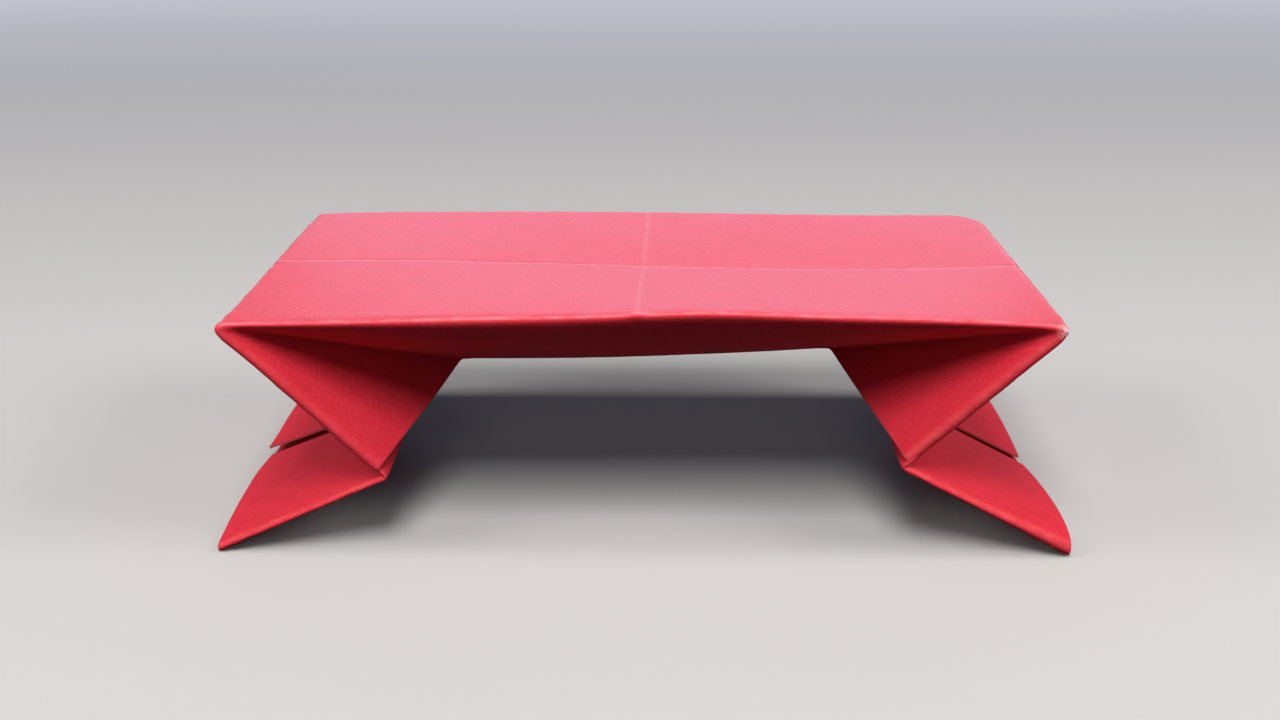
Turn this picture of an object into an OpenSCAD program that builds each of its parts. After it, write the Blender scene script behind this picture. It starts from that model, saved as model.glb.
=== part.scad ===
// Table folded from one uncut rectangle of craft paper, twice as long as it is wide.
// Its long sides turn under the top as aprons. Each end leans back under the top as a leg,
// turns out again at the knee as a foot, and has both its sides folded over onto the foot.
// At each corner of the top a gusset joins the apron to the edge of the leg.

/* [Top] */
// Length of the top, between its end folds
top_length = 100; // [80:1:140]
// Depth of the top, between its front and back folds
top_depth = 50; // [40:1:60]

/* [Legs and feet] */
// Slope of a leg below the level
leg_angle = 45; // [40:1:50]
// Slope of a foot below the level
foot_angle = 27; // [23:1:30]
// How far the knee lies beyond the middle of the end strip
knee_offset = 1; // [0:0.25:2]

/* [Folds] */
// Angle between the top and an apron
apron_angle = 28; // [24:1:32]
// Inside radius of an open fold
fold_radius = 0.5; // [0.4:0.05:0.7]
// Inside radius of the tight fold along the side of a foot
hem_radius = 0.1; // [0.05:0.05:0.3]
// Radius of the roll of layers along the edge of a leg
ridge_radius = 1; // [0.85:0.05:1.2]
// Height by which a flap stands up from its foot
flap_rise = 2; // [0.5:0.25:3]
// Gap between the two flaps of a foot
slit = 2; // [1:0.25:4]

/* [Paper] */
// Thickness of the paper
paper = 0.3; // [0.2:0.05:0.35]

/* [Hidden] */

paper_colour = "#D6344C";
$fn = 48;
bend_steps = 8;
flap_steps = 14;
// Angle of the sine that shapes a raised flap: past 90 it dips a little towards the slit
flap_sine = 120;

// Every flap is a quarter of the sheet's width, and an end strip is a leg and a foot
flap = top_depth / 2;
leg = flap + knee_offset;
foot = flap - knee_offset;

// Radii of an open fold, at the middle and at the outside of the paper
fold_mid = fold_radius + paper / 2;
fold_outer = fold_radius + paper;
// Two flaps lie flat on the outer face of each leg, and this is how far out the stack reaches
flap_layers = 2;
leg_face = fold_mid + paper / 2;
stack = leg_face + flap_layers * paper;
// Radii of the tight fold along the side of a foot
hem_mid = hem_radius + paper / 2;
hem_outer = hem_radius + paper;

// Straight runs that are left of each panel beside its folds
function bend_length(angle) = fold_mid * angle * PI / 180;
knee_turn = 180 - leg_angle - foot_angle;
leg_run = leg - bend_length(180 - leg_angle) / 2 - bend_length(knee_turn) / 2;
foot_run = foot - bend_length(knee_turn) / 2;
apron_run = flap - bend_length(180 - apron_angle) / 2;

// Directions in the XZ plane at the +X end, and the centres of the two bends there
leg_dir = [-cos(leg_angle), -sin(leg_angle)];
leg_out = [sin(leg_angle), -cos(leg_angle)];
foot_dir = [cos(foot_angle), -sin(foot_angle)];
foot_up = [sin(foot_angle), cos(foot_angle)];
end_height = foot_run * sin(foot_angle) + leg_run * sin(leg_angle)
    + (fold_mid + paper / 2) * cos(foot_angle) + 2 * fold_mid * cos(leg_angle);
end_centre = [top_length / 2 - fold_outer, end_height];
knee_centre = end_centre + leg_run * leg_dir + 2 * fold_mid * leg_out;
table_height = end_height + fold_outer;

// The front fold of the top, and the plane of the front apron below it
front_y = fold_outer - top_depth / 2;
apron_start = [front_y - fold_mid * sin(apron_angle), end_height - fold_mid * cos(apron_angle)];
apron_dir = [cos(apron_angle), -sin(apron_angle)];
apron_end = apron_start + apron_run * apron_dir;
function apron_z(y) = apron_start[1] - (y - apron_start[0]) * tan(apron_angle);

// The roll of layers along the front edge of the +X leg, in the frame of that leg:
// x runs down the leg from the end fold, and z points out of the leg's outer face
ridge_y = ridge_radius - top_depth / 2;
ridge_z = stack - ridge_radius;
ridge_mid = ridge_radius - paper / 2;
function from_leg(p) = [
    end_centre[0] + p[0] * leg_dir[0] + p[2] * leg_out[0],
    p[1],
    end_centre[1] + p[0] * leg_dir[1] + p[2] * leg_out[1]
];

// The gusset leaves the roll as a tangent and ends at the apron's raw corner
gusset_corner = [top_length / 2 - flap, apron_end[0], apron_end[1]];
corner_out = [gusset_corner[0] - end_centre[0], gusset_corner[2] - end_centre[1]] * leg_out;
corner_reach = [gusset_corner[1] - ridge_y, ridge_z - corner_out];
gusset_angle = atan2(corner_reach[1], corner_reach[0]) - asin(ridge_mid / norm(corner_reach));
tangent_y = ridge_y - ridge_mid * sin(gusset_angle);
tangent_z = ridge_z - ridge_mid * cos(gusset_angle);
gusset_start = (end_centre[1] + tangent_z * leg_out[1] - apron_z(tangent_y)) / sin(leg_angle);
gusset_top = from_leg([gusset_start, tangent_y, tangent_z]);
gusset_foot = from_leg([flap, tangent_y, tangent_z]);

function unit(v) = v / norm(v);
function turned(v) = [-v[1], v[0]];
function arc(centre, radius, from, to) = [
    for (i = [0:bend_steps])
        let (a = from + (to - from) * i / bend_steps)
            centre + radius * [cos(a), sin(a)]
];
function reversed(list) = [for (i = [len(list) - 1:-1:0]) list[i]];

// The outline of a sheet of paper whose middle follows a path
function side_step(path, i) =
    let (
        last = len(path) - 1,
        before = unit(path[max(i, 1)] - path[max(i, 1) - 1]),
        after = unit(path[min(i, last - 1) + 1] - path[min(i, last - 1)]),
        along = unit(before + after)
    ) turned(along) / (along * after);
function sheet_outline(path) =
    let (steps = [for (i = [0:len(path) - 1]) side_step(path, i) * paper / 2])
        concat(path + steps, reversed(path - steps));

// Half of the long strip, from the middle of the top to the raw end of the +X foot
half_strip = concat(
    arc(end_centre, fold_mid, 90, leg_angle - 90),
    arc(knee_centre, fold_mid, 90 + leg_angle, 270 - foot_angle),
    [knee_centre - fold_mid * foot_up + foot_run * foot_dir]
);
other_half = [for (p = reversed(half_strip)) [-p[0], p[1]]];

// A foot's hem, from just inside the side of the foot, round the fold and over to the slit
hem_y = hem_outer - top_depth / 2;
flap_run = -hem_y - slit / 2;
foot_hem = concat(
    [[front_y + paper, paper / 4]],
    arc([hem_y, hem_mid], hem_mid, 270, 90),
    [
        for (i = [1:flap_steps])
            [hem_y + flap_run * i / flap_steps, 2 * hem_mid + flap_rise * sin(flap_sine * i / flap_steps)]
    ]
);

// The front fold of the top with its apron
apron_path = concat(
    [[front_y + paper, table_height - paper / 2]],
    arc([front_y, end_height], fold_mid, 90, 270 - apron_angle),
    [apron_end]
);

module at_corners() {
    for (end = [[0, 0, 0], [1, 0, 0]], side = [[0, 0, 0], [0, 1, 0]])
        mirror(end)
            mirror(side)
                children();
}

module along_x(length) {
    rotate([90, 0, 90])
        linear_extrude(length)
            children();
}

// Frames of the +X leg and foot, with z out of the face that carries the flaps
module leg_frame() {
    translate([end_centre[0], 0, end_centre[1]])
        rotate([0, 180 - leg_angle, 0])
            children();
}

module foot_frame() {
    foot_start = knee_centre - fold_mid * foot_up;
    translate([foot_start[0], 0, foot_start[1]])
        rotate([0, foot_angle, 0])
            children();
}

// Top, legs and feet in one strip
module long_strip() {
    rotate([90, 0, 0])
        linear_extrude(top_depth - 2 * fold_outer, center = true)
            polygon(sheet_outline(concat(other_half, half_strip)));
}

// One apron, cut back at both ends to its folds with the gussets
module apron() {
    plan = [
        [end_centre[0], -top_depth],
        [end_centre[0], tangent_y],
        [gusset_top[0], gusset_top[1]],
        [gusset_corner[0], gusset_corner[1]],
        [gusset_corner[0], 0]
    ];
    intersection() {
        translate([-top_length / 2, 0, 0])
            along_x(top_length)
                polygon(sheet_outline(apron_path));
        linear_extrude(2 * table_height)
            polygon(concat(plan, reversed([for (p = plan) [-p[0], p[1]]])));
    }
}

// The triangle between an apron and the edge of a leg
module gusset() {
    corners = [gusset_top, gusset_corner, gusset_foot];
    step = unit(cross(corners[1] - corners[0], corners[2] - corners[0])) * paper / 2;
    polyhedron(
        concat([for (c = corners) c - step], [for (c = corners) c + step]),
        [[0, 1, 2], [5, 4, 3], [1, 0, 3, 4], [2, 1, 4, 5], [0, 2, 5, 3]]
    );
}

// Two layers folded flat on the outer face of a leg, under a slanting fold
module leg_flap() {
    leg_frame()
        translate([0, 0, leg_face - paper / 2])
            linear_extrude(stack - leg_face + paper / 2)
                polygon([[fold_outer, front_y], [leg_run, front_y + leg_run - fold_outer], [leg_run, front_y]]);
}

// The rolled edge of a leg, with its rounded corner at the top
module leg_ridge() {
    leg_frame() {
        translate([0, ridge_y, ridge_z])
            rotate([0, 90, 0])
                cylinder(h = flap, r = ridge_radius);
        translate([0, front_y, 0])
            sphere(r = fold_outer + paper / 10);
    }
    translate(gusset_top)
        sphere(r = paper);
}

// One side of a foot folded over, with a rounded corner at the knee
module foot_flap() {
    foot_frame() {
        along_x(foot_run)
            polygon(sheet_outline(foot_hem));
        translate([0, hem_y, hem_mid])
            sphere(r = hem_outer + paper / 10);
    }
}

module folded_sheet() {
    color(paper_colour) {
        long_strip();
        for (side = [[0, 0, 0], [0, 1, 0]])
            mirror(side)
                apron();
        at_corners() {
            gusset();
            leg_flap();
            leg_ridge();
            foot_flap();
        }
    }
}

folded_sheet();
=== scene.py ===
"""Paper craft table: one sheet of red craft paper, folded, with the softness of hand work."""

import math

import bpy
import numpy as np
from mathutils import Matrix


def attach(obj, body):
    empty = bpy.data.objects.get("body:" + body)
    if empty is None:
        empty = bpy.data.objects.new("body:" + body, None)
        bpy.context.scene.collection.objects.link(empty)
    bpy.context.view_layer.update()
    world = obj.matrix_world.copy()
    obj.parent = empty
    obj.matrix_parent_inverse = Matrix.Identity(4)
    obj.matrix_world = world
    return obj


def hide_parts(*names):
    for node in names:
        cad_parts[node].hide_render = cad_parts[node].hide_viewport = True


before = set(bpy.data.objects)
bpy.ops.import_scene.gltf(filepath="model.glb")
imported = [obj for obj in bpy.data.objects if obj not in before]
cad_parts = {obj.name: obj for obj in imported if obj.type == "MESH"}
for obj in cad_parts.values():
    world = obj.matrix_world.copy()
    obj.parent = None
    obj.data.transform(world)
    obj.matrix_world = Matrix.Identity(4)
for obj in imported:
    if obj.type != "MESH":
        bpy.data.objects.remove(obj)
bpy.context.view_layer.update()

# Lengths are in millimetres until the mesh is made
MM = 0.001
PAPER = 0.3
PANEL = 25.0
# Places on the flat sheet are in panels from its middle, with u along it and v across it
HALF_SHEET = (4.0, 2.0)
END_FOLD = 2.0
KNEE_FOLD = 3.0
SIDE_FOLD = 1.0
# Smaller than any step of the grid
TINY = 1e-9

# Lengths of the left and the right leg and foot: the hand fold isn't quite even
LEG = (27.3, 25.8)
FOOT = (23.8, 24.1)
# How much less the leg takes of the sheet at the back, because the fold at its knee is askew
KNEE_SKEW = (0.7, 0.4)
# How much the left and the right end of the top draw in towards the back
END_SKEW = (0.0, 0.85)

# The sharp side folds lie a little outside the real ones, because the rounding draws them in
FOLD_SIGMA = 0.7
SIDE_DRAW = 0.7
END_DRAW = 0.6
LEG_DRAW = 0.15
HALF_LENGTH = END_FOLD * PANEL - END_DRAW
HALF_DEPTH = PANEL + SIDE_DRAW
LEG_HALF_DEPTH = PANEL - LEG_DRAW
# Panels over which the leg narrows below the end fold, and widens again above the knee
NARROWING = 0.08
WIDENING = 0.4

# Slopes in degrees, for the left and the right end
LEG_ANGLE = (45.5, 43.4)
APRON_ANGLE = (23.8, 21.2)
# What the middle of an apron adds to its slope
APRON_MIDDLE = -0.5
# An apron curls down from its fold, most of all in the middle of the table
APRON_CURL = math.radians(38.0)
CURL_REACH = 0.22
APRON_DRAW = 0.02
TOP_HEIGHT = 29.5
# How far the top arches at its front and back folds and along its sunken long crease:
# the height in the middle, and what it gains to the right
FRONT_BOW = (1.35, 0.34)
BACK_BOW = (0.4, -0.27)
CREASE_BOW = (-0.45, -0.54)
# The front fold peaks right of the middle: height, and place and half width in panels.
# Down the apron the peak fades at this rate.
FRONT_PEAK = (0.42, 0.3, 0.4)
PEAK_FADE = 2.0

# How far the layers stand out from a leg, and a flap from its foot
RIDGE_LAYER = 0.1
FIRST_LAYER = 0.36
SECOND_LAYER = 0.72
HEM_LAYER = 0.5
# The roll along the left and the right leg's edge: height, and place, width and start along it
ROLL = (0.15, 0.5)
ROLL_PLACE = 1.0
ROLL_WIDTH = 0.9
ROLL_START = 4.0
RIDGE_LENGTH = (25.4, 24.5)
# Gap between the flaps of the left and the right foot, at the knee and at the tip
KNEE_SLIT = (1.6, 2.6)
TIP_SLIT = (3.2, 3.6)
SLIT_SHIFT = (0.8, 0.0)

# Each foot's flap: height of its bulge, where it peaks, height and setback of its free edge
FLAPS = {
    (-1, -1): (0.5, 0.8, 0.9, 1.0),
    (1, -1): (2.1, 0.5, 0.6, 0.6),
    (-1, 1): (0.8, 0.8, 1.2, -0.5),
    (1, 1): (0.6, 0.7, 0.4, 0.2),
}
# A flap lifts slowly at first from the knee to the tip, and is set back near its free edge only
FLAP_GROWTH = 1.6
SETBACK_FROM = 0.7

# Steps of the grid on the sheet, and how much closer they lie at the folds
FINE_STEPS = 32
TOP_COLUMNS = 26
TOP_ROWS = 30
CROWDING = 0.7
# Share of a squared grid step that one step of the rounding may take
ROUNDING_STEP = 0.22

# How much rounder than the others the front fold, the back fold and the right ridge are,
# and where that lies and how far it reaches, in panels
FRONT_SOFT = 2.2
BACK_SOFT = 1.2
SIDE_SOFT_AT = (1.03, 0.12)
RIDGE_SOFT = 0.8
RIDGE_SOFT_REACH = 0.1

# Slow unevenness of the paper: height, then rate and start along the sheet and across it
HAND_WAVE = (0.05, (0.11, 0.9), (0.09, 0.4))
# Slanting ripples: height, rate along the sheet, rate across it and start
RIPPLES = ((0.012, 0.23, -0.17, 2.0), (0.008, 0.29, 0.41, 4.1))

# Depth of the small dents along the folds, and how far they reach from a fold in panels.
# Two waves, each a rate and a start, make the dents, and a finer one adds its share.
WOBBLE = 0.05
WOBBLE_REACH = 0.05
WOBBLE_WAVES = ((1.3, 0.4), (0.47, 2.0))
WOBBLE_FINE = (0.5, 2.1, 1.3)

# The old creases of the top: depth, and half width in panels
LONG_CREASE = (0.05, 0.012)
CROSS_CREASE = (0.03, 0.022)
# How they lie askew, and how the long one wanders: size, rate and start of each wave
CROSS_SLANT = 0.0094
LONG_SLANT = (0.0075, 0.0138)
WANDER = ((0.005, 2.3, 0.5), (0.002, 7.1, 1.0))

# A blunted corner, a drawn out corner, and a bump where the cross crease meets the front:
# place and reach in panels, and the move
HANDLED = (
    ((2.0, 1.0), (0.12, 0.12), (-1.0, -0.7, -0.3)),
    ((-2.0, -1.0), (0.15, 0.15), (-0.4, -0.1, 0.1)),
    ((-0.02, -1.0), (0.035, 0.05), (0.0, -0.12, 0.2)),
)


def crowded_ends(steps):
    t = np.linspace(0.0, 1.0, steps + 1)
    return t - CROWDING * np.sin(2 * np.pi * t) / (2 * np.pi)


def crowded_near_end(steps):
    t = np.linspace(0.0, 1.0, steps + 1)
    return t - CROWDING * np.sin(np.pi * t) / np.pi


def both_ways(half):
    return np.concatenate([-half[:0:-1], half])


def sheet_columns():
    fine = crowded_ends(FINE_STEPS)
    middle = crowded_near_end(TOP_COLUMNS)
    half = [middle, 1.0 + fine[1:], END_FOLD + fine[1:], KNEE_FOLD + fine[1:]]
    return both_ways(np.concatenate(half))


def sheet_rows():
    half = [crowded_ends(TOP_ROWS), SIDE_FOLD + crowded_ends(FINE_STEPS)[1:]]
    return both_ways(np.concatenate(half))


def by_side(pair, side):
    return np.where(side < 0, pair[0], pair[1])


class Sheet:
    """The flat sheet in panels, with u along it and v across it, and its sharp folds."""

    def __init__(self, u, v):
        self.u = u
        self.v = v
        self.side = np.where(u < 0, -1.0, 1.0)
        self.face = np.where(v < 0, -1.0, 1.0)
        self.along = np.abs(u)
        self.across = np.abs(v)
        self.past_end = self.along - END_FOLD
        self.past_fold = self.across - SIDE_FOLD
        self.on_foot = np.clip(self.along - KNEE_FOLD, 0.0, 1.0)
        self.lean = np.radians(by_side(LEG_ANGLE, self.side))
        off_middle = np.where(self.across < SIDE_FOLD, self.across, 2.0 * SIDE_FOLD - self.across)
        skew = by_side(KNEE_SKEW, self.side) * (0.5 * (1.0 + self.face * off_middle))
        self.leg_length = by_side(LEG, self.side) - skew
        self.foot_length = by_side(FOOT, self.side) + skew
        knee_height = TOP_HEIGHT - self.leg_length * np.sin(self.lean)
        self.splay = np.arcsin((knee_height - PAPER / 2) / self.foot_length)

    def half_length(self, y):
        return HALF_LENGTH - by_side(END_SKEW, self.side) * 0.5 * (1.0 + y / HALF_DEPTH)

    def arch(self, middle, gain):
        return (middle + gain * self.u) * np.clip(1.0 - (self.u / END_FOLD) ** 2, 0.0, None)

    def peak(self):
        height, place, width = FRONT_PEAK
        return np.where(self.v < 0, height * np.exp(-((self.u - place) / width) ** 2), 0.0)

    def bow(self, v):
        fold = np.where(v < 0, self.arch(*FRONT_BOW), self.arch(*BACK_BOW)) + self.peak()
        crease = self.arch(*CREASE_BOW)
        return crease + (fold - crease) * np.abs(v)

    def top(self):
        y = HALF_DEPTH * self.v
        x = self.half_length(y) * self.u / END_FOLD
        return np.stack([x, y, TOP_HEIGHT + self.bow(self.v)], axis=-1)

    def apron(self, down):
        near = np.clip(self.u, -1.0, 1.0)
        mean = 0.5 * (APRON_ANGLE[0] + APRON_ANGLE[1])
        tilt = 0.5 * (APRON_ANGLE[1] - APRON_ANGLE[0])
        angle = np.radians(mean + tilt * near + APRON_MIDDLE * (1.0 - near ** 2))
        curl = self.arch(APRON_CURL, 0.0) * CURL_REACH * (1.0 - np.exp(-down / CURL_REACH))
        inward = down * np.cos(angle) - curl * np.sin(angle)
        drop = down * np.sin(angle) + curl * np.cos(angle)
        half = self.half_length(self.face * HALF_DEPTH)
        x = half * self.u / END_FOLD * (1.0 - APRON_DRAW * down)
        y = self.face * (HALF_DEPTH - PANEL * inward)
        z = TOP_HEIGHT + self.bow(self.face) - PANEL * drop
        z = z - self.peak() * np.minimum(PEAK_FADE * down, 1.0)
        return np.stack([x, y, z], axis=-1)

    def leg(self, down, y, out):
        reach = self.half_length(y) - down * np.cos(self.lean) + out * np.sin(self.lean)
        z = TOP_HEIGHT - down * np.sin(self.lean) - out * np.cos(self.lean)
        return np.stack([self.side * reach, y, z], axis=-1)

    def foot(self, outward, y, up):
        knee = self.leg(self.leg_length, y, 0.0)
        step_x = self.side * (outward * np.cos(self.splay) + up * np.sin(self.splay))
        step_z = up * np.cos(self.splay) - outward * np.sin(self.splay)
        return knee + np.stack([step_x, 0.0 * y, step_z], axis=-1)

    def gusset(self):
        toward = np.clip(-self.past_end, 0.0, 1.0)
        down = np.clip(self.past_fold - toward, 0.0, 1.0)
        run = by_side(RIDGE_LENGTH, self.side) * down
        roll = by_side(ROLL, self.side) * np.exp(-((PANEL * toward - ROLL_PLACE) / ROLL_WIDTH) ** 2)
        roll = roll * np.clip(run / ROLL_START, 0.0, 1.0)
        step_x = -self.side * (run * np.cos(self.lean) + roll * np.sin(self.lean))
        step_z = roll * np.cos(self.lean) - run * np.sin(self.lean)
        return self.apron(toward) + np.stack([step_x, 0.0 * run, step_z], axis=-1)

    def half_depth(self):
        below_fold = np.clip(self.past_end / NARROWING, 0.0, 1.0)
        above_knee = np.clip((KNEE_FOLD - self.along) / WIDENING, 0.0, 1.0)
        return HALF_DEPTH + (LEG_HALF_DEPTH - HALF_DEPTH) * below_fold * above_knee

    def flap_height(self):
        height = np.zeros_like(self.u)
        setback = np.zeros_like(self.u)
        in_flap = np.clip(self.past_fold, 0.0, 1.0)
        late = np.clip((in_flap - SETBACK_FROM) / (1.0 - SETBACK_FROM), 0.0, 1.0) ** 2
        for (side, face), (rise, power, lip, back) in FLAPS.items():
            here = (self.side == side) & (self.face == face)
            shape = rise * np.sin(np.pi * in_flap ** power) + lip * in_flap
            height = np.where(here, shape * self.on_foot ** FLAP_GROWTH, height)
            setback = np.where(here, back * late * self.on_foot, setback)
        return height, setback

    def strip_y(self):
        return self.face * self.half_depth() * np.clip(self.across, 0.0, 1.0)

    def flap_y(self):
        knee_slit = by_side(KNEE_SLIT, self.side)
        tip_slit = by_side(TIP_SLIT, self.side)
        slit = 0.5 * (knee_slit + (tip_slit - knee_slit) * self.on_foot)
        y = self.face * (slit + (self.half_depth() - slit) * np.clip(1.0 - self.past_fold, 0.0, 1.0))
        return y + by_side(SLIT_SHIFT, self.side) * np.clip(self.past_fold, 0.0, 1.0) * self.on_foot

    def leg_places(self):
        """The leg itself, the fold along its side, the two layers on it and its ridge."""
        leg_run = self.leg_length * self.past_end
        ridge_run = by_side(RIDGE_LENGTH, self.side) * self.past_fold
        under_y = self.face * self.half_depth() * np.clip(1.0 - self.past_fold, 0.0, 1.0)
        over_y = self.face * HALF_DEPTH * np.clip(1.0 - self.past_end, 0.0, 1.0)
        strip = self.leg(leg_run, self.strip_y(), 0.0)
        hem = self.leg(leg_run, self.strip_y(), FIRST_LAYER / 2)
        under = self.leg(leg_run, under_y, FIRST_LAYER)
        over = self.leg(ridge_run, over_y, SECOND_LAYER)
        ridge = self.leg(ridge_run, self.face * HALF_DEPTH, RIDGE_LAYER)
        return strip, hem, under, over, ridge

    def foot_places(self):
        """The foot itself, the fold along its side and its flap."""
        run = self.foot_length * self.on_foot
        height, setback = self.flap_height()
        strip = self.foot(run, self.strip_y(), 0.0)
        hem = self.foot(run, self.strip_y(), HEM_LAYER / 2)
        flap = self.foot(run - setback, self.flap_y(), HEM_LAYER)
        flap[..., 2] += height
        return strip, hem, flap

    def folded(self):
        p = self.past_end
        w = self.past_fold
        inside = w < 0
        fold = np.abs(w) < TINY
        outside = w > 0
        foot = self.along > KNEE_FOLD + TINY
        leg = (p > 0) & ~foot
        strip, hem, under, over, ridge = self.leg_places()
        foot_strip, foot_hem, foot_flap = self.foot_places()
        choices = [
            (inside & (p <= 0), self.top()),
            (fold & (p <= 0), self.apron(0.0)),
            (outside & (p < 0) & (w <= -p), self.apron(w)),
            (outside & (p < 0) & (w > -p), self.gusset()),
            (outside & (np.abs(p) < TINY), ridge),
            (inside & leg, strip),
            (inside & foot, foot_strip),
            (fold & leg, hem),
            (fold & foot, foot_hem),
            (outside & leg & (w < p), under),
            (outside & leg & (w > p), over),
            (outside & leg & (np.abs(w - p) < TINY), 0.5 * (under + over)),
            (outside & foot, foot_flap),
        ]
        points = np.zeros(self.u.shape + (3,))
        for where, place in choices:
            points = np.where(where[..., None], place, points)
        return points


def second_difference(points, steps, axis):
    moved = np.moveaxis(points, axis, 0)
    slope = np.diff(moved, axis=0) / steps[:, None, None]
    bend = np.zeros_like(moved)
    span = (steps[1:] + steps[:-1])[:, None, None]
    bend[1:-1] = 2.0 * np.diff(slope, axis=0) / span
    return np.moveaxis(bend, 0, axis)


def softness(u, v):
    """How much rounder a fold is than the sharpest ones."""
    place, reach = SIDE_SOFT_AT
    near_side = np.exp(-((np.abs(v) - place) / reach) ** 2) * (np.abs(u) < END_FOLD)
    near_side = near_side * np.where(v < 0, FRONT_SOFT, BACK_SOFT)
    near_right_ridge = np.exp(-((u - END_FOLD) / RIDGE_SOFT_REACH) ** 2) * (np.abs(v) > SIDE_FOLD)
    return 1.0 + near_side + RIDGE_SOFT * near_right_ridge


def rounded(points, columns, rows):
    """Rounds every fold by spreading the shape over the flat sheet, as stiff paper does."""
    soft = softness(*np.meshgrid(columns, rows))[..., None]
    column_steps = PANEL * np.diff(columns)
    row_steps = PANEL * np.diff(rows)
    finest = min(column_steps.min(), row_steps.min())
    time = FOLD_SIGMA ** 2 / 2
    count = math.ceil(time * soft.max() / (ROUNDING_STEP * finest ** 2))
    for _ in range(count):
        bend = second_difference(points, column_steps, 1) + second_difference(points, row_steps, 0)
        points = points + soft * bend * time / count
    return points


def grid_normals(points):
    along = np.gradient(points, axis=1)
    across = np.gradient(points, axis=0)
    normal = np.cross(along, across)
    return normal / np.linalg.norm(normal, axis=-1, keepdims=True)


def hand_waves(u, v):
    """Slow unevenness of the paper, in millimetres."""
    x = PANEL * u
    y = PANEL * v
    height, along, across = HAND_WAVE
    waves = height * np.sin(along[0] * x + along[1]) * np.sin(across[0] * y + across[1])
    for height, rate_x, rate_y, start in RIPPLES:
        waves = waves + height * np.sin(rate_x * x + rate_y * y + start)
    return waves


def fold_wobble(u, v):
    """Small dents that fingers leave along the folds, in millimetres."""
    (rate, start), (slow_rate, slow_start) = WOBBLE_WAVES
    share, fine_rate, fine_start = WOBBLE_FINE
    dents = 0.0
    for near, along in ((np.abs(v) - SIDE_FOLD, PANEL * u), (np.abs(u) - END_FOLD, PANEL * v)):
        waves = np.sin(rate * along + start) * np.sin(slow_rate * along + slow_start)
        waves = waves + share * np.sin(fine_rate * along + fine_start)
        dents = dents + WOBBLE * waves * np.exp(-(near / WOBBLE_REACH) ** 2)
    return dents


def old_creases(u, v):
    """Shallow grooves in the top from folding the flat sheet in half both ways, in millimetres."""
    wander = LONG_SLANT[0] + LONG_SLANT[1] * u
    wander = wander + sum(size * np.sin(rate * u + start) for size, rate, start in WANDER)
    slant = CROSS_SLANT * (1.0 - v)
    on_top = (np.abs(u) < END_FOLD) & (np.abs(v) < SIDE_FOLD)
    long_groove = LONG_CREASE[0] * np.exp(-((v + wander) / LONG_CREASE[1]) ** 2)
    cross_groove = CROSS_CREASE[0] * np.exp(-((u + slant) / CROSS_CREASE[1]) ** 2)
    return np.where(on_top, long_groove + cross_groove, 0.0)


def handled(points, u, v):
    """Moves what handling the table has blunted, drawn out or raised."""
    for place, reach, move in HANDLED:
        off_u = (u - place[0]) / reach[0]
        off_v = (v - place[1]) / reach[1]
        points = points + np.exp(-off_u ** 2 - off_v ** 2)[..., None] * np.array(move)
    return points


def sheet_mesh():
    columns = sheet_columns()
    rows = sheet_rows()
    u, v = np.meshgrid(columns, rows)
    points = rounded(Sheet(u, v).folded(), columns, rows)
    points = handled(points, u, v)
    lift = hand_waves(u, v) + fold_wobble(u, v) - old_creases(u, v)
    points = points + grid_normals(points) * lift[..., None]
    normals = grid_normals(points)
    upper = points + normals * PAPER / 2
    lower = points - normals * PAPER / 2
    return u, v, upper, lower


def quads_between(index):
    corners = [index[:-1, :-1], index[:-1, 1:], index[1:, 1:], index[1:, :-1]]
    return np.stack(corners, axis=-1).reshape(-1, 4)


def rim_quads(index):
    loop = np.concatenate([index[0, :-1], index[:-1, -1], index[-1, :0:-1], index[:0:-1, 0]])
    after = np.roll(loop, -1)
    return np.stack([loop, loop + index.size, after + index.size, after], axis=-1)


def sheet_uv(u, v, faces):
    flat = np.stack([u / (2.0 * HALF_SHEET[0]) + 0.5, v / (2.0 * HALF_SHEET[1]) + 0.5], axis=-1)
    flat = flat.reshape(-1, 2)
    return np.concatenate([flat, flat])[faces.reshape(-1)].reshape(-1)


def make_sheet(name, material):
    u, v, upper, lower = sheet_mesh()
    index = np.arange(u.size).reshape(u.shape)
    upper_faces = quads_between(index)
    lower_faces = upper_faces[:, ::-1] + u.size
    rim_faces = rim_quads(index)
    faces = np.concatenate([upper_faces, lower_faces, rim_faces])
    points = np.concatenate([upper.reshape(-1, 3), lower.reshape(-1, 3)]) * MM
    points[:, 2] -= points[:, 2].min()

    mesh = bpy.data.meshes.new(name)
    mesh.from_pydata(points.tolist(), [], faces.tolist())
    smooth = np.ones(len(faces), dtype=bool)
    smooth[-len(rim_faces):] = False
    mesh.polygons.foreach_set("use_smooth", smooth)
    layer = mesh.uv_layers.new(name="sheet")
    layer.data.foreach_set("uv", sheet_uv(u, v, faces))
    mesh.validate()
    mesh.update()
    mesh.materials.append(material)
    piece = bpy.data.objects.new(name, mesh)
    bpy.context.scene.collection.objects.link(piece)
    return piece


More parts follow.
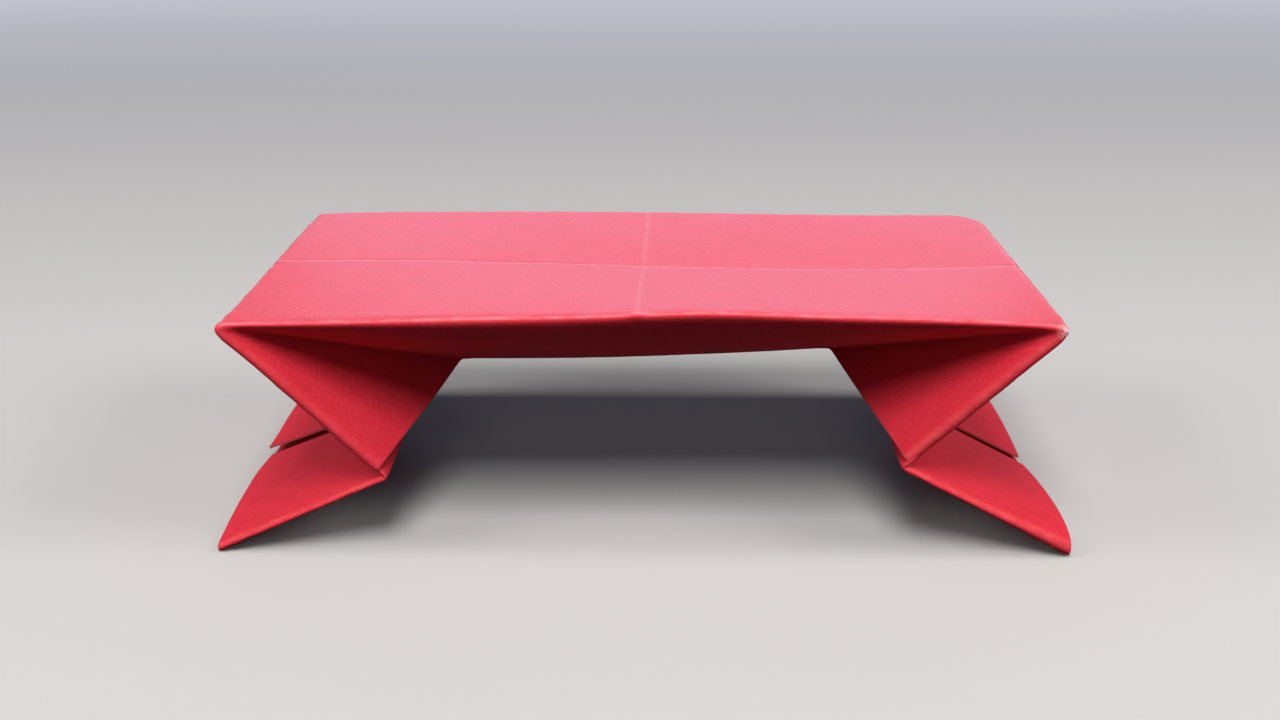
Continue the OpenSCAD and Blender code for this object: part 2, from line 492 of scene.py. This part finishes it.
class Nodes:
    """Short names for the shader nodes that the scene uses."""

    def __init__(self, owner):
        self.tree = owner.node_tree

    def add(self, kind, **inputs):
        node = self.tree.nodes.new(kind)
        for name, value in inputs.items():
            self.put(node.inputs[name], value)
        return node

    def put(self, socket, value):
        if isinstance(value, bpy.types.NodeSocket):
            self.tree.links.new(value, socket)
        else:
            socket.default_value = value

    def math(self, operation, first, second=0.0):
        node = self.tree.nodes.new("ShaderNodeMath")
        node.operation = operation
        self.put(node.inputs[0], first)
        self.put(node.inputs[1], second)
        return node.outputs[0]

    def plus(self, first, second):
        return self.math("ADD", first, second)

    def minus(self, first, second):
        return self.math("SUBTRACT", first, second)

    def times(self, first, second):
        return self.math("MULTIPLY", first, second)

    def vector(self, operation, first, second=(0.0, 0.0, 0.0)):
        node = self.tree.nodes.new("ShaderNodeVectorMath")
        node.operation = operation
        self.put(node.inputs[0], first)
        self.put(node.inputs[1], second)
        return node.outputs

    def noise(self, vector, scale, detail):
        node = self.add("ShaderNodeTexNoise", Vector=vector, Scale=scale, Detail=detail)
        return node.outputs["Fac"]

    def spread(self, value, low, high, to_low=0.0, to_high=1.0):
        node = self.tree.nodes.new("ShaderNodeMapRange")
        node.interpolation_type = "SMOOTHSTEP"
        ends = [value, low, high, to_low, to_high]
        for socket, end in zip(node.inputs, ends):
            self.put(socket, end)
        return node.outputs[0]

    def band(self, distance, width):
        return self.spread(distance, 0.0, width, 1.0, 0.0)

    def line(self, offset, width):
        return self.band(self.math("ABSOLUTE", offset), width)

    def mix(self, amount, first, second):
        node = self.tree.nodes.new("ShaderNodeMix")
        node.data_type = "RGBA"
        self.put(node.inputs[0], amount)
        self.put(node.inputs[6], first)
        self.put(node.inputs[7], second)
        return node.outputs[2]


RED = (0.66, 0.017, 0.036, 1.0)
DEEP_RED = (0.62, 0.014, 0.031, 1.0)
# The folds are partly rubbed and partly given a painted highlight in this lighter red. The pale pink
# below serves the fibres, the flecks and the same painted highlight on the top's folds.
RUB_AND_HIGHLIGHT_RED = (0.88, 0.13, 0.13, 1.0)
PALE_PINK_AND_HIGHLIGHT = (0.86, 0.36, 0.42, 1.0)
CUT_EDGE = (0.60, 0.09, 0.11, 1.0)
# Dark flecks of the grain; the same colour paints the shade of the dent on the right front flap
DARK_FLECK_AND_SHADE = (0.40, 0.008, 0.018, 1.0)
BARE_FIBRE = (0.88, 0.70, 0.72, 1.0)

# Scale and detail of the paper's noises
MOTTLE = (9.0, 5.0)
FIBRE = (90.0, 4.0)
BREAKUP = (14.0, 4.0)
SPECKLE = (60.0, 3.0)
LUMPS = (35.0, 3.0)
# Levels of a noise between which a mark comes in, and the marks' shares of the colour.
# Four numbers are two levels and the share at each.
MOTTLE_LEVELS = (0.3, 0.7)
FIBRE_LEVELS = (0.5, 0.8)
FIBRE_SHARE = 0.07
FLECK_LEVELS = (0.5, 0.7)
FLECK_SHARES = (0.04, 0.1)
DARK_LEVELS = (0.3, 0.48, 0.16, 0.0)
CREASE_LEVELS = (0.35, 0.65, 0.3, 1.0)
CREASE_SHARE = 0.42
CROSS_SHARE = 0.2
RUB_AND_HIGHLIGHT_LEVELS = (0.2, 0.75, 0.25, 1.0)
RUB_AND_HIGHLIGHT_SHARE = 0.42
WORN_LEVELS = (0.4, 0.55)
WORN_SHARE = 0.8
DENT_SHADE_SHARE = 0.8

# Soft edges of the top, and half widths of the lines on it and along the cut edges, in panels
TOP_ENDS = (1.97, 2.0, 1.0, 0.0)
TOP_SIDES = (0.98, 1.0, 1.0, 0.0)
LONG_LINE = 0.011
CROSS_LINE = 0.024
RUB_AND_HIGHLIGHT_LINE = 0.04
CUT_LINE = 0.006
# The line of rub and painted highlight along the side fold moves outward between the leg and the foot,
# and the one along the end fold lies here
RUB_AND_HIGHLIGHT_SIDE = (2.9, 3.0, 0.975, 1.03)
RUB_AND_HIGHLIGHT_END = 1.98
# The right ridge gets more rub and painted highlight than the left one
RIDGE_RUB_AND_HIGHLIGHT = (-0.1, 0.1, 0.45, 0.9)
# The front right corner of the top, where the paper's core shows
WORN_CORNER = (2.0, -1.0, 0.0)
WORN_REACH = 0.085
# Painted shade of a short dent in the front flap of the right foot, and one over its half width and half
# length
DENT_SHADE_PLACE = (3.62, -1.8, 0.0)
DENT_SHADE_SCALE = (1 / 0.014, 1 / 0.07, 0.0)

# The top is smoother than the rest
GLOSS_LEVELS = (0.3, 0.7, 0.36, 0.42)
ROUGHER_OFF_TOP = 0.45
SPECULAR = 0.28
FIBRE_RELIEF = 0.5
LUMP_RELIEF = 0.5
CREASE_RELIEF = 0.6
BUMP_STRENGTH = 0.6
BUMP_DISTANCE = 0.00012


class Paper(Nodes):
    """Where a point lies on the flat sheet, in panels, and the marks of the paper there."""

    def __init__(self, material):
        super().__init__(material)
        sheet = self.add("ShaderNodeUVMap")
        sheet.uv_map = "sheet"
        parts = self.add("ShaderNodeSeparateXYZ", Vector=sheet.outputs["UV"])
        self.u = self.from_middle(parts.outputs["X"], HALF_SHEET[0])
        self.v = self.from_middle(parts.outputs["Y"], HALF_SHEET[1])
        self.place = self.add("ShaderNodeCombineXYZ", X=self.u, Y=self.v).outputs[0]
        self.along = self.math("ABSOLUTE", self.u)
        self.across = self.math("ABSOLUTE", self.v)
        self.mottle = self.noise(self.place, *MOTTLE)
        self.fibre = self.noise(self.place, *FIBRE)
        self.breakup = self.noise(self.place, *BREAKUP)
        self.speckle = self.noise(self.place, *SPECKLE)
        self.lumps = self.noise(self.place, *LUMPS)
        self.on_top = self.times(self.spread(self.along, *TOP_ENDS), self.spread(self.across, *TOP_SIDES))
        self.creases = self.crease_lines()

    def from_middle(self, share, half):
        return self.times(self.minus(share, 0.5), 2.0 * half)

    def wander(self):
        line = self.plus(self.times(self.u, LONG_SLANT[1]), LONG_SLANT[0])
        for size, rate, start in WANDER:
            wave = self.math("SINE", self.plus(self.times(self.u, rate), start))
            line = self.plus(line, self.times(wave, size))
        return line

    def crease_lines(self):
        slant = self.times(self.minus(1.0, self.v), CROSS_SLANT)
        long_line = self.line(self.plus(self.v, self.wander()), LONG_LINE)
        cross_line = self.line(self.plus(self.u, slant), CROSS_LINE)
        lines = self.plus(long_line, self.times(cross_line, CROSS_SHARE))
        broken = self.times(lines, self.spread(self.breakup, *CREASE_LEVELS))
        return self.times(broken, self.on_top)

    # Lighter lines along the folds: partly rubbed paper, partly painted highlight where the rounded folds
    # face the light
    def rub_and_highlight(self):
        side_at = self.spread(self.along, *RUB_AND_HIGHLIGHT_SIDE)
        side_fold = self.line(self.minus(self.across, side_at), RUB_AND_HIGHLIGHT_LINE)
        end_fold = self.line(self.minus(self.along, RUB_AND_HIGHLIGHT_END), RUB_AND_HIGHLIGHT_LINE)
        end_fold = self.times(end_fold, self.spread(self.u, *RIDGE_RUB_AND_HIGHLIGHT))
        folds = self.math("MAXIMUM", side_fold, end_fold)
        return self.times(folds, self.spread(self.breakup, *RUB_AND_HIGHLIGHT_LEVELS))

    def worn(self):
        away = self.vector("DISTANCE", self.place, WORN_CORNER)["Value"]
        return self.times(self.band(away, WORN_REACH), self.spread(self.speckle, *WORN_LEVELS))

    # A dark line of painted shade where a small dent in the right front flap would shade itself
    def painted_dent_shade(self):
        away = self.vector("SUBTRACT", self.place, DENT_SHADE_PLACE)["Vector"]
        away = self.vector("MULTIPLY", away, DENT_SHADE_SCALE)["Vector"]
        return self.band(self.vector("LENGTH", away)["Value"], 1.0)

    def cut(self):
        to_end = self.minus(HALF_SHEET[0], self.along)
        to_side = self.minus(HALF_SHEET[1], self.across)
        return self.band(self.math("MINIMUM", to_end, to_side), CUT_LINE)

    def plain_colour(self):
        colour = self.mix(self.spread(self.mottle, *MOTTLE_LEVELS), DEEP_RED, RED)
        fibres = self.times(self.spread(self.fibre, *FIBRE_LEVELS), FIBRE_SHARE)
        colour = self.mix(fibres, colour, PALE_PINK_AND_HIGHLIGHT)
        fleck_share = self.spread(self.on_top, 0.0, 1.0, *FLECK_SHARES)
        flecks = self.times(self.spread(self.speckle, *FLECK_LEVELS), fleck_share)
        colour = self.mix(flecks, colour, PALE_PINK_AND_HIGHLIGHT)
        return self.mix(self.spread(self.speckle, *DARK_LEVELS), colour, DARK_FLECK_AND_SHADE)

    def colour(self):
        # Painted highlight, mixed with rub, along the folds
        rub_and_highlight_colour = self.mix(self.on_top, RUB_AND_HIGHLIGHT_RED, PALE_PINK_AND_HIGHLIGHT)
        colour = self.mix(self.times(self.rub_and_highlight(), RUB_AND_HIGHLIGHT_SHARE), self.plain_colour(), rub_and_highlight_colour)
        colour = self.mix(self.times(self.creases, CREASE_SHARE), colour, BARE_FIBRE)
        colour = self.mix(self.times(self.worn(), WORN_SHARE), colour, BARE_FIBRE)
        # Painted shade of the dent
        colour = self.mix(self.times(self.painted_dent_shade(), DENT_SHADE_SHARE), colour, DARK_FLECK_AND_SHADE)
        return self.mix(self.cut(), colour, CUT_EDGE)

    def roughness(self):
        gloss = self.spread(self.fibre, *GLOSS_LEVELS)
        return self.plus(gloss, self.spread(self.on_top, 0.0, 1.0, ROUGHER_OFF_TOP, 0.0))

    def relief(self):
        grain = self.plus(self.times(self.fibre, FIBRE_RELIEF), self.times(self.lumps, LUMP_RELIEF))
        grain = self.minus(grain, self.times(self.creases, CREASE_RELIEF))
        bump = self.add("ShaderNodeBump", Strength=BUMP_STRENGTH, Distance=BUMP_DISTANCE, Height=grain)
        return bump.outputs[0]


def paper_material():
    material = bpy.data.materials.new("red_craft_paper")
    material.use_nodes = True
    paper_nodes = Paper(material)
    shader = material.node_tree.nodes["Principled BSDF"]
    paper_nodes.put(shader.inputs["Base Color"], paper_nodes.colour())
    paper_nodes.put(shader.inputs["Roughness"], paper_nodes.roughness())
    paper_nodes.put(shader.inputs["Normal"], paper_nodes.relief())
    shader.inputs["Specular IOR Level"].default_value = SPECULAR
    return material


FLOOR_SIZE = 6.0
FLOOR_COLOUR = (0.54, 0.52, 0.50, 1.0)
FLOOR_ROUGHNESS = 0.8
# What the floor throws back onto the table is kept low, so that its hollows stay dark
FLOOR_BOUNCE = (0.02, 0.017, 0.015, 1.0)
# Far from the table the floor runs into a backdrop of this colour without a seam
BACKDROP = (0.61, 0.63, 0.70, 1.0)
BACKDROP_FROM = 0.15
BACKDROP_FULL = 0.85
BLACK = (0.0, 0.0, 0.0, 1.0)


def seen_ray(n):
    """One for a ray that shows what it meets, and nought for one that only gathers light."""
    rays = n.add("ShaderNodeLightPath").outputs
    seen = n.plus(rays["Is Camera Ray"], rays["Is Glossy Ray"])
    return n.plus(seen, rays["Is Transmission Ray"])


def floor_material():
    material = bpy.data.materials.new("pale_floor")
    material.use_nodes = True
    n = Nodes(material)
    shader = material.node_tree.nodes["Principled BSDF"]
    shader.inputs["Roughness"].default_value = FLOOR_ROUGHNESS
    shader.inputs["Specular IOR Level"].default_value = 0.0
    shader.inputs["Emission Color"].default_value = BACKDROP
    seen = seen_ray(n)
    place = n.add("ShaderNodeNewGeometry").outputs["Position"]
    far = n.spread(n.vector("LENGTH", place)["Value"], BACKDROP_FROM, BACKDROP_FULL)
    near_colour = n.mix(seen, FLOOR_BOUNCE, FLOOR_COLOUR)
    n.put(shader.inputs["Base Color"], n.mix(far, near_colour, BLACK))
    n.put(shader.inputs["Emission Strength"], n.times(seen, far))
    return material


def make_floor():
    half = FLOOR_SIZE / 2
    mesh = bpy.data.meshes.new("floor")
    corners = [(-half, -half, 0), (half, -half, 0), (half, half, 0), (-half, half, 0)]
    mesh.from_pydata(corners, [], [(0, 1, 2, 3)])
    mesh.materials.append(floor_material())
    floor = bpy.data.objects.new("floor", mesh)
    bpy.context.scene.collection.objects.link(floor)


def placed(right, up, back, place):
    rows = [[right[i], up[i], back[i], place[i]] for i in range(3)]
    return Matrix(rows + [[0.0, 0.0, 0.0, 1.0]])


# The sky lights the table only a little, but its gloss mirrors the pale backdrop
SKY_LIGHT = (0.05, 0.052, 0.06, 1.0)
WHITE = (1.0, 1.0, 1.0)
COOL = (0.60, 0.68, 1.0)
# Each lamp's place and size in metres, its power in watts and its colour
LAMPS = (
    ("overhead", (0.0, -0.03, 0.7), (0.09, 0.09), 0.4, WHITE),
    ("in_front", (-0.03, -0.37, 0.6), (0.26, 0.32), 3.85, WHITE),
    ("in_front_low", (-0.03, -0.62, 0.36), (0.26, 0.2), 0.3, WHITE),
    ("left", (-0.45, -0.1, 0.35), (0.25, 0.25), 1.1, WHITE),
    ("right", (0.45, -0.1, 0.35), (0.25, 0.25), 1.5, WHITE),
    ("behind", (0.0, 0.62, 0.22), (0.5, 0.16), 0.72, COOL),
)
LAMP_TARGET = (0.0, 0.0, 0.015)
# A lamp's upper side lies towards the back, and not quite level, so that none looks along it
LAMP_UPWARD = (0.0, 1.0, 0.001)


def area_light(name, place, size, power, colour):
    data = bpy.data.lights.new(name, "AREA")
    data.shape = "RECTANGLE"
    data.size = size[0]
    data.size_y = size[1]
    data.energy = power
    data.color = colour
    lamp = bpy.data.objects.new(name, data)
    bpy.context.scene.collection.objects.link(lamp)
    back = np.array(place) - np.array(LAMP_TARGET)
    back = back / np.linalg.norm(back)
    right = np.cross(LAMP_UPWARD, back)
    right = right / np.linalg.norm(right)
    up = np.cross(back, right)
    lamp.matrix_world = placed(right, up, back, place)


def make_light():
    world = bpy.data.worlds.new("soft_sky")
    world.use_nodes = True
    background = world.node_tree.nodes["Background"]
    n = Nodes(world)
    n.put(background.inputs["Color"], n.mix(seen_ray(n), SKY_LIGHT, BACKDROP))
    background.inputs["Strength"].default_value = 1.0
    bpy.context.scene.world = world
    for lamp in LAMPS:
        area_light(*lamp)


# The camera stands where the photograph was taken, for a frame 1280 pixels wide
FRAME_WIDTH = 1280
SENSOR = 36.0
FOCAL_PIXELS = 1412.6
CLIP_START = 0.01
CAMERA_PLACE = (0.0039, -0.1781, 0.0835)
YAW = math.radians(-1.5)
PITCH = math.radians(20.76)
ROLL_ANGLE = math.radians(-0.3)


def make_camera():
    data = bpy.data.cameras.new("camera")
    data.sensor_width = SENSOR
    data.lens = SENSOR * FOCAL_PIXELS / FRAME_WIDTH
    data.clip_start = CLIP_START
    level_ahead = np.array((math.sin(YAW), math.cos(YAW), 0.0))
    level = np.array((math.cos(YAW), -math.sin(YAW), 0.0))
    ahead = level_ahead * math.cos(PITCH) - np.array((0.0, 0.0, math.sin(PITCH)))
    upright = np.cross(level, ahead)
    right = math.cos(ROLL_ANGLE) * level + math.sin(ROLL_ANGLE) * upright
    up = math.cos(ROLL_ANGLE) * upright - math.sin(ROLL_ANGLE) * level
    camera = bpy.data.objects.new("camera", data)
    bpy.context.scene.collection.objects.link(camera)
    camera.matrix_world = placed(right, up, -ahead, CAMERA_PLACE)
    bpy.context.scene.camera = camera


make_camera()
make_floor()
paper = make_sheet("red_paper_sheet", paper_material())
make_light()
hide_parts("folded_sheet")
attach(paper, "root")
bpy.context.scene.view_settings.view_transform = "Standard"
